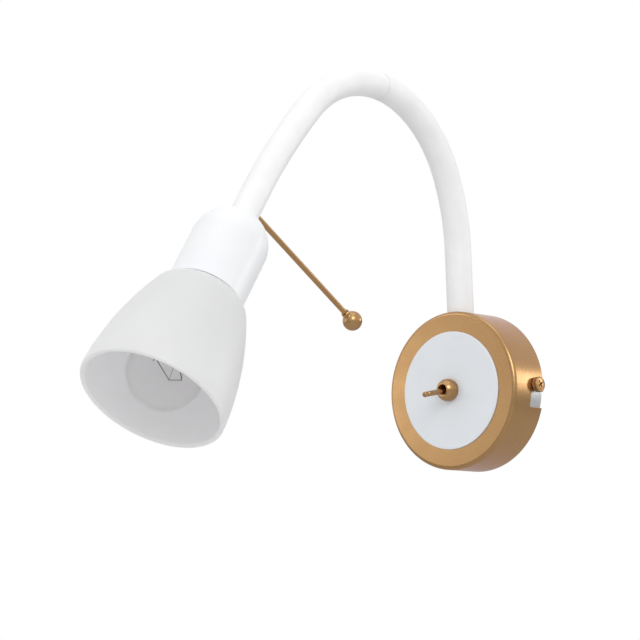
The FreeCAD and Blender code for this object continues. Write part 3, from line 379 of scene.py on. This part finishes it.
def finished(bm, matrix=None):
    """A mesh from a bmesh, with its faces turned outwards."""
    bmesh.ops.recalc_face_normals(bm, faces=bm.faces)
    mesh = bpy.data.meshes.new("mesh")
    bm.to_mesh(mesh)
    bm.free()
    if matrix is not None:
        mesh.transform(matrix)
    return mesh


# Gooseneck -----------------------------------------------------------------------------------
def bend_points(start, heading, end, step=1.0):
    """Points and headings along the arc that leaves start in a direction and reaches end."""
    chord = end - start
    turn = 2 * heading.angle(chord) if chord.angle(heading) > 1e-4 else 0.0
    count = max(2, round(chord.length / (step * MM)))
    axis = heading.cross(chord).normalized() if turn else None
    points = []
    for index in range(count + 1):
        share = index / count
        if not turn:
            points.append((start + chord * share, heading))
            continue
        radius = chord.length / (2 * math.sin(turn / 2))
        side = axis.cross(heading)
        angle = turn * share
        place = start + heading * (radius * math.sin(angle)) + side * (radius * (1 - math.cos(angle)))
        points.append((place, Matrix.Rotation(angle, 3, axis) @ heading))
    return points


def neck_line():
    """The gooseneck's centre line, one list of points for each stretch between hinges."""
    heading = Vector((0, 0, 1))
    root = Vector((0, HINGES[0].y, CANOPY_RADIUS * MM))
    stretches = [bend_points(root, heading, HINGES[0])]
    for start, end in zip(HINGES, HINGES[1:]):
        stretches.append(bend_points(start, heading, end))
        heading = stretches[-1][-1][1]
    # the last bend runs into the head's own axis, then goes straight into the dome
    last = HINGES[-1]
    away = -HEAD_DOWN
    reach = (last - APEX).dot(away)
    miss = ((last - APEX) - away * reach).length
    tangent = miss / math.sin(heading.angle(HEAD_DOWN))
    meeting = last + heading * tangent
    bend_end = meeting + HEAD_DOWN * tangent
    seat = CUP_RADIUS - math.sqrt(CUP_RADIUS ** 2 - NECK_RADIUS ** 2)
    stretches.append(bend_points(last, heading, bend_end)
                     + bend_points(bend_end, HEAD_DOWN, APEX + HEAD_DOWN * seat * MM)[1:])
    return stretches


def tube(line, outer, inner, seat=None, hollow=None, segments=64):
    """A closed length of sleeve along a line. Seat gives the height of its first ring's points by their
    distance from the middle, and hollow its inner radius at a place."""
    bm = bmesh.new()
    skins = []
    for radius in (outer, inner):
        rings = []
        for index, (place, heading) in enumerate(line):
            up = heading.cross(SIDEWAYS)
            width = hollow(place) if hollow and skins else radius
            ring = []
            for step in range(segments):
                angle = 2 * math.pi * step / segments
                spot = place + (SIDEWAYS * math.cos(angle) + up * math.sin(angle)) * width * MM
                if seat and index == 0:
                    spot.z = seat(spot.x)
                ring.append(bm.verts.new(spot))
            rings.append(ring)
        skins.append(rings)
        for low, high in zip(rings, rings[1:]):
            join_rings(bm, low, high)
    for end in (0, -1):
        join_rings(bm, skins[0][end], skins[1][end])
        crease(bm, skins[0][end])
        crease(bm, skins[1][end])
    return finished(bm)


def on_rim(x):
    """Height of the canopy's round top at a distance from its middle."""
    return math.sqrt(((CANOPY_RADIUS + RIM_CLEAR) * MM) ** 2 - x * x)


def ball_socket(middle, radius):
    """For tube: the inner radius at a place, hollowed by a ball within the sleeve's wall."""
    def hollow(place):
        along = (place - middle).length / MM
        wide = math.sqrt(max(0.0, radius ** 2 - along ** 2))
        return min(max(wide, NECK_RADIUS - SLEEVE_WALL), NECK_RADIUS - FOLD_WALL)
    return hollow


def ball_band(radius, wall, start, end, steps=24):
    """A band of a ball's shell round Z, between two angles in degrees from the ball's middle."""
    angles = [math.radians(start + (end - start) * step / steps) for step in range(steps + 1)]
    outline = [(radius * math.cos(angle), radius * math.sin(angle)) for angle in angles]
    inner = radius - wall
    outline += [(inner * math.cos(angle), inner * math.sin(angle)) for angle in reversed(angles)]
    return closed_lathe(outline)


def folded_length(index, near, far, nodes):
    """The sleeve over the folded hinge: two stiff lengths and, between them, two bands of a ball, one
    on each body, that slide in each other. With all joints at their upper limits a blend across this
    hinge comes apart."""
    hinge, heading = HINGES[index], far[0][1]
    near_body, far_body = NECK_BODIES[index], NECK_BODIES[index + 1]
    name = f"sleeve_{index + 1}"
    inner = NECK_RADIUS - SLEEVE_WALL
    near, far = [[point for point in line if (point[0] - hinge).length > FOLD_SPACING * MM]
                 for line in (near, far)]
    near.append((hinge - heading * FOLD_GAP * MM, heading))
    far.insert(0, (hinge + heading * FOLD_GAP * MM, heading))
    near_mesh = tube(near, NECK_RADIUS, inner, hollow=ball_socket(hinge, KNUCKLE_SOCKET))
    far_mesh = tube(far, NECK_RADIUS, inner, hollow=ball_socket(hinge, BAND_SOCKET))
    piece(name, near_mesh, "white_silicone", nodes, near_body)
    piece(name + "_far", far_mesh, "white_silicone", body=far_body)

    place = Matrix.Translation(hinge) @ heading.to_track_quat("Z", "Y").to_matrix().to_4x4()
    near_band = ball_band(NECK_RADIUS, NEAR_BAND_WALL, -BAND_INSIDE, BAND_PAST)
    far_band = ball_band(NECK_RADIUS - NEAR_BAND_WALL - BAND_CLEAR, FAR_BAND_WALL, -BAND_PAST, BAND_INSIDE)
    piece(name + "_near_band", finished(near_band, place), "white_silicone", body=near_body)
    piece(name + "_far_band", finished(far_band, place), "white_silicone", body=far_body)


def gooseneck_sleeve():
    """The sleeve is one smooth skin, in lengths that each span one hinge; one of them is folded."""
    stretches = neck_line()
    nodes = [["neck_sleeve_base"]] + [[f"neck_sleeve_{number}"] for number in range(1, len(HINGES))]
    nodes[-1].append("neck_sleeve_head")
    for index, hinge in enumerate(HINGES):
        before, after = stretches[index], stretches[index + 1]
        half_before = 0 if index == 0 else len(before) // 2
        half_after = len(after) - 1 if index == len(HINGES) - 1 else len(after) // 2
        if index == FOLD_AT:
            folded_length(index, before[half_before:], after[:half_after + 1], nodes[index])
            continue
        line = before[half_before:] + after[1:half_after + 1]
        mesh = tube(line, NECK_RADIUS, NECK_RADIUS - SLEEVE_WALL, seat=on_rim if index == 0 else None)
        item = piece(f"sleeve_{index + 1}", mesh, "white_silicone", nodes[index])
        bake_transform(item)


gooseneck_sleeve()


# Thumb screws ----------------------------------------------------------------------------------
def cross_recess(arm, wide, depth):
    """Depth of a cross cut into a screw's face at a place on it, its flanks sloping in."""
    end_slope, side_slope = 0.25 * arm, 0.3 * wide

    def cut(x, y):
        along, across = max(abs(x), abs(y)), min(abs(x), abs(y))
        inside = min((wide / 2 - across) / side_slope, (arm - along) / end_slope)
        return depth * min(max(inside, 0.0), 1.0)
    return cut


def thumb_screw(radius, tall, shank, shank_long, knurls=32):
    """A turned screw with Z out of its head's face: domed, cut for a driver, knurled round its edge."""
    face_rings = 26
    round_off = 0.12 * radius
    knurl_end = 0.15
    knurl_deep = 0.25
    dome = 0.35
    reach = radius - round_off
    cut = cross_recess(arm=2.6, wide=1.15, depth=1.2)
    profile = [(radius * share / face_rings, tall) for share in range(face_rings - 2)]
    profile += [(reach, tall), (radius, tall - round_off), (radius, tall - round_off - knurl_end),
                (radius, round_off + knurl_end), (radius, round_off), (reach, 0.0),
                (shank, 0.0, True), (shank, -shank_long, True), (0.0, -shank_long)]

    def relief(r, z, angle):
        if z == tall and r <= reach:
            lift = dome * (1 - (r / reach) ** 2) - dome
            return r, z + lift - cut(r * math.cos(angle), r * math.sin(angle))
        if r == radius and round_off < z < tall - round_off:
            return r - knurl_deep * (0.5 - 0.5 * math.cos(angle * knurls)), z
        return r, z

    return lathe(profile, segments=8 * knurls, relief=relief)


def merged(parts):
    """One mesh from several bmeshes, each with its matrix."""
    whole = bmesh.new()
    for bm, matrix in parts:
        mesh = finished(bm, matrix)
        whole.from_mesh(mesh)
        bpy.data.meshes.remove(mesh)
    mesh = bpy.data.meshes.new("mesh")
    whole.to_mesh(mesh)
    whole.free()
    return mesh


def side_screws():
    """Knurled thumb screws with a cross recess, at three and nine o'clock on the canopy."""
    low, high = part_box("side_screws")
    middle = (low + high) / 2
    tall, driven_to = 3.6, 35
    parts = []
    for side in (1, -1):
        seat = Vector((side * ((high.x - middle.x) - tall * MM), middle.y, middle.z))
        turn = (Matrix.Rotation(math.radians(90 * side), 4, "Y")
                @ Matrix.Rotation(math.radians(driven_to), 4, "Z"))
        screw = thumb_screw(radius=4.8, tall=tall, shank=1.95, shank_long=6.0)
        parts.append((screw, Matrix.Translation(seat) @ turn))
    piece("thumb_screws", merged(parts), "satin_brass", ["side_screws"], "canopy")


side_screws()


# Aiming rod's ball -----------------------------------------------------------------------------
def rod_matrix():
    """Rod frame: origin where the rod crosses the head's axis, Z out along the rod."""
    along = Matrix.Rotation(math.radians(90 + ROD_LEAN), 3, "X") @ HEAD_DOWN
    turn = Matrix((SIDEWAYS, along.cross(SIDEWAYS), along)).transposed().to_4x4()
    return Matrix.Translation(APEX - HEAD_DOWN * ROD_AT * MM) @ turn


def arc_points(radius, centre, start, end, steps):
    """Points on a ball's outline, by the angle from its far pole in degrees."""
    angles = [math.radians(start + (end - start) * step / steps) for step in range(steps + 1)]
    return [(radius * math.sin(angle), centre + radius * math.cos(angle)) for angle in angles]


def aiming_ball():
    """Turned ball, bored for the rod's end, with a grooved collar."""
    bore, bore_end = ROD_RADIUS + 0.1, ROD_REACH - 1.9
    collar, collar_long, rim_long = 2.6, 3.0, 1.5
    chamfer, chamfer_long = 0.35, 0.4
    groove, groove_start, groove_lip = collar - 0.5, 1.8, 0.35
    seat = math.degrees(math.asin(collar / BALL_RADIUS))
    throat = ROD_REACH - BALL_RADIUS * math.cos(math.radians(seat))
    back = throat - collar_long
    outline = [(0.0, bore_end), (bore, bore_end, True), (bore, back, True),
               (collar - chamfer, back, True), (collar, back + chamfer_long, True),
               (collar, back + rim_long, True), (groove, back + groove_start), (groove, throat - groove_lip)]
    ball = arc_points(BALL_RADIUS, ROD_REACH, 180 - seat, 0, 28)
    outline += [(*ball[0], True)] + ball[1:-1] + [(0.0, ROD_REACH + BALL_RADIUS)]
    piece("aiming_ball", finished(lathe(outline, 72), rod_matrix()), "satin_brass", ["handle_ball"], "head")


aiming_ball()


# Bulb ------------------------------------------------------------------------------------------
def wire(points, radius, sides=8):
    """A drawn wire through points in millimetres, closed at both ends."""
    bm = bmesh.new()
    spots = [Vector(point) * MM for point in points]
    rings = []
    across = None
    for index, spot in enumerate(spots):
        ahead = (spots[min(index + 1, len(spots) - 1)] - spots[max(index - 1, 0)]).normalized()
        across = across - ahead * across.dot(ahead) if across else ahead.orthogonal()
        across.normalize()
        up = ahead.cross(across)
        angles = [2 * math.pi * step / sides for step in range(sides)]
        rings.append([bm.verts.new(spot + (across * math.cos(angle) + up * math.sin(angle)) * radius * MM)
                      for angle in angles])
    for low, high in zip(rings, rings[1:]):
        join_rings(bm, low, high)
    bm.faces.new(rings[0])
    bm.faces.new(rings[-1])
    return bm


def coil_points(corners, radius, pitch, steps=8):
    """Points of a fine coil that runs straight from corner to corner."""
    points = []
    for start, end in zip(corners, corners[1:]):
        start, end = Vector(start), Vector(end)
        ahead = (end - start).normalized()
        across = ahead.orthogonal().normalized()
        up = ahead.cross(across)
        for step in range(round((end - start).length / pitch) * steps):
            angle = 2 * math.pi * step / steps
            points.append(start + ahead * (pitch * step / steps)
                          + (across * math.cos(angle) + up * math.sin(angle)) * radius)
    return points


def filament_mount():
    """The filament hangs in straight runs between two lead wires and two fine hooks on the stem."""
    lead_radius = 0.3
    hook_radius = 0.13
    tungsten_radius = 0.09
    coil_radius = 0.22
    coil_pitch = 0.4
    hook_spread = 0.97      # a hook's shank stands this share of the way out to its corner
    foot = STEM_TOP - 1.0
    corners = [(-0.3, 9.5, FILAMENT_AT), (-4.8, -8.5, FILAMENT_AT),
               (3.8, -10.0, FILAMENT_AT), (8.4, -2.7, FILAMENT_AT)]
    first, hook_one, hook_two, last = corners
    wires = [wire([(-1.2, 0.8, foot), (-1.5, 4.0, foot + 11), first,
                   (-1.4, 9.6, FILAMENT_AT + 0.4), (-2.5, 9.1, FILAMENT_AT + 0.6)], lead_radius),
             wire([(1.2, -0.4, foot), (4.6, -0.8, foot + 12), last, (9.2, -2.2, FILAMENT_AT + 0.7)],
                  lead_radius)]
    for root, corner in ((-0.5, hook_one), (0.6, hook_two)):
        x, y = corner[0] * hook_spread, corner[1] * hook_spread
        wires.append(wire([(root, -1.0, foot), (x, y, FILAMENT_AT - 0.9), corner,
                           (x, y, FILAMENT_AT + 0.6)], hook_radius))
    place = head_matrix()
    piece("lead_wires", merged([(bm, place) for bm in wires]), "nickel_wire", ["bulb_supports"], "bulb")
    coil = wire(coil_points(corners, coil_radius, coil_pitch), tungsten_radius, sides=6)
    piece("filament_coil", finished(coil, place), "tungsten_wire", ["bulb_filament"], "bulb")


def threaded_cap():
    """Rolled E14 cap: the thread shows outside and in, and fades at both ends."""
    pitch = 2.82
    crest = 7.05
    depth = 0.3
    wall = 0.15
    fade_long = 1.6
    start, end = CAP_TOP, CAP_TOP + CAP_LONG
    steps = round((end - start) * 6)
    heights = [start + (end - start) * step / steps for step in range(steps + 1)]
    outline = [(crest, z) for z in heights] + [(crest - wall, z) for z in reversed(heights)]

    def relief(r, z, angle):
        fade = min(1.0, (z - start) / fade_long, (end - z) / fade_long)
        wave = 0.5 - 0.5 * math.cos(2 * math.pi * z / pitch - angle)
        return r - depth * wave * max(fade, 0.0), z

    cap = closed_lathe(outline, 72, relief)
    piece("threaded_cap", finished(cap, head_matrix()), "nickel_cap", ["bulb_cap"], "bulb")


filament_mount()
threaded_cap()


# ---------------------------------------------------------------------------------------------
# Studio and camera
# ---------------------------------------------------------------------------------------------
# the dome is brighter overhead, and on the side of the photograph's right hand
DOME_LEAN = (0.30, 0.26, 1.0)
DOME_DARK, DOME_BRIGHT = 0.50, 0.82
WHITE = (1, 1, 1, 1)

FLOOR_HALF = 12.0
FLOOR_AT = -0.55

# solved from the canopy's and the shade's rims in the photograph
CAMERA_PLACE = (1.0434, -1.3644, -0.1897)
CAMERA_RIGHT = (0.7541, 0.6560, -0.0336)
CAMERA_UP = (0.1163, -0.0829, 0.9897)
CAMERA_LENS = 152.3
SENSOR = 36.0

# name, place, aim, size in metres and power of each round lamp; the two cards are for the brass: one lays
# the bright band along the canopy's side, the other lights its left face
LAMP_MIDDLE = (0, -0.15, 0.03)
CANOPY_MIDDLE = (0, 0, 0)
LAMPS = [
    ("key", (1.5, -1.3, 1.0), LAMP_MIDDLE, 1.2, 13),
    ("window", (-1.1, -1.2, 1.1), LAMP_MIDDLE, 0.7, 2.0),
    ("top", (0.1, -0.2, 1.7), LAMP_MIDDLE, 1.4, 4),
    ("side_card", (1.0, 1.4, 0.30), CANOPY_MIDDLE, 0.45, 2.0),
    ("face_card", (-0.47, -0.5, 0.07), CANOPY_MIDDLE, 0.14, 0.075),
]


def studio():
    """World: a soft dome that lights the lamp, seen by the camera and in reflections as plain white."""
    world = bpy.data.worlds.new("studio")
    scene.world = world
    world.use_nodes = True
    tree = world.node_tree
    for item in list(tree.nodes):
        tree.nodes.remove(item)
    path = add(tree, "ShaderNodeLightPath", (-800, 200))
    direct = add(tree, "ShaderNodeMath", (-600, 300),
                 {0: path.outputs["Is Camera Ray"], 1: path.outputs["Is Glossy Ray"]}, operation="MAXIMUM")
    seen = add(tree, "ShaderNodeMath", (-400, 250),
               {0: direct.outputs["Value"], 1: path.outputs["Is Transmission Ray"]}, operation="MAXIMUM")
    where = add(tree, "ShaderNodeTexCoord", (-1000, -100))
    lean = add(tree, "ShaderNodeVectorMath", (-800, -100),
               {0: where.outputs["Generated"], 1: DOME_LEAN}, operation="DOT_PRODUCT")
    ramp = add(tree, "ShaderNodeMapRange", (-600, -100),
               {"Value": lean.outputs["Value"], "From Min": -0.6, "From Max": 0.8,
                "To Min": DOME_DARK, "To Max": DOME_BRIGHT})
    dome = add(tree, "ShaderNodeBackground", (-300, -100),
               {"Color": WHITE, "Strength": ramp.outputs["Result"]})
    white = add(tree, "ShaderNodeBackground", (-300, 100), {"Color": WHITE, "Strength": 1.0})
    mix = add(tree, "ShaderNodeMixShader", (0, 0),
              {0: seen.outputs["Value"], 1: dome.outputs["Background"], 2: white.outputs["Background"]})
    add(tree, "ShaderNodeOutputWorld", (200, 0), {"Surface": mix.outputs["Shader"]})


def soft_light(name, place, aim, size, power):
    """A round area lamp that the camera doesn't see."""
    data = bpy.data.lights.new(name, "AREA")
    data.shape = "DISK"
    data.size = size
    data.energy = power
    lamp = bpy.data.objects.new(name, data)
    scene.collection.objects.link(lamp)
    lamp.location = place
    lamp.visible_camera = False
    lamp.rotation_euler = (Vector(aim) - Vector(place)).to_track_quat("-Z", "Y").to_euler()


def floor():
    """Plain pale floor well below the lamp."""
    mesh = bpy.data.meshes.new("floor")
    corners = [(-1, -1), (1, -1), (1, 1), (-1, 1)]
    mesh.from_pydata([(x * FLOOR_HALF, y * FLOOR_HALF, FLOOR_AT) for x, y in corners], [], [(0, 1, 2, 3)])
    item = bpy.data.objects.new("floor", mesh)
    scene.collection.objects.link(item)
    mesh.materials.append(shader("pale_floor", Roughness=0.8, Base_Color=srgb("#dadada"))[0])


def camera():
    """The photograph's view."""
    data = bpy.data.cameras.new("photo_view")
    data.sensor_width = SENSOR
    data.lens = CAMERA_LENS
    data.clip_start = 0.05
    data.clip_end = 50.0
    view = bpy.data.objects.new("photo_view", data)
    scene.collection.objects.link(view)
    right = Vector(CAMERA_RIGHT)
    back = right.cross(Vector(CAMERA_UP)).normalized()
    up = back.cross(right).normalized()
    turn = Matrix((right.normalized(), up, back)).transposed().to_4x4()
    view.matrix_world = Matrix.Translation(Vector(CAMERA_PLACE)) @ turn
    scene.camera = view


studio()
floor()
camera()
for lamp in LAMPS:
    soft_light(*lamp)
scene.view_settings.view_transform = "Standard"
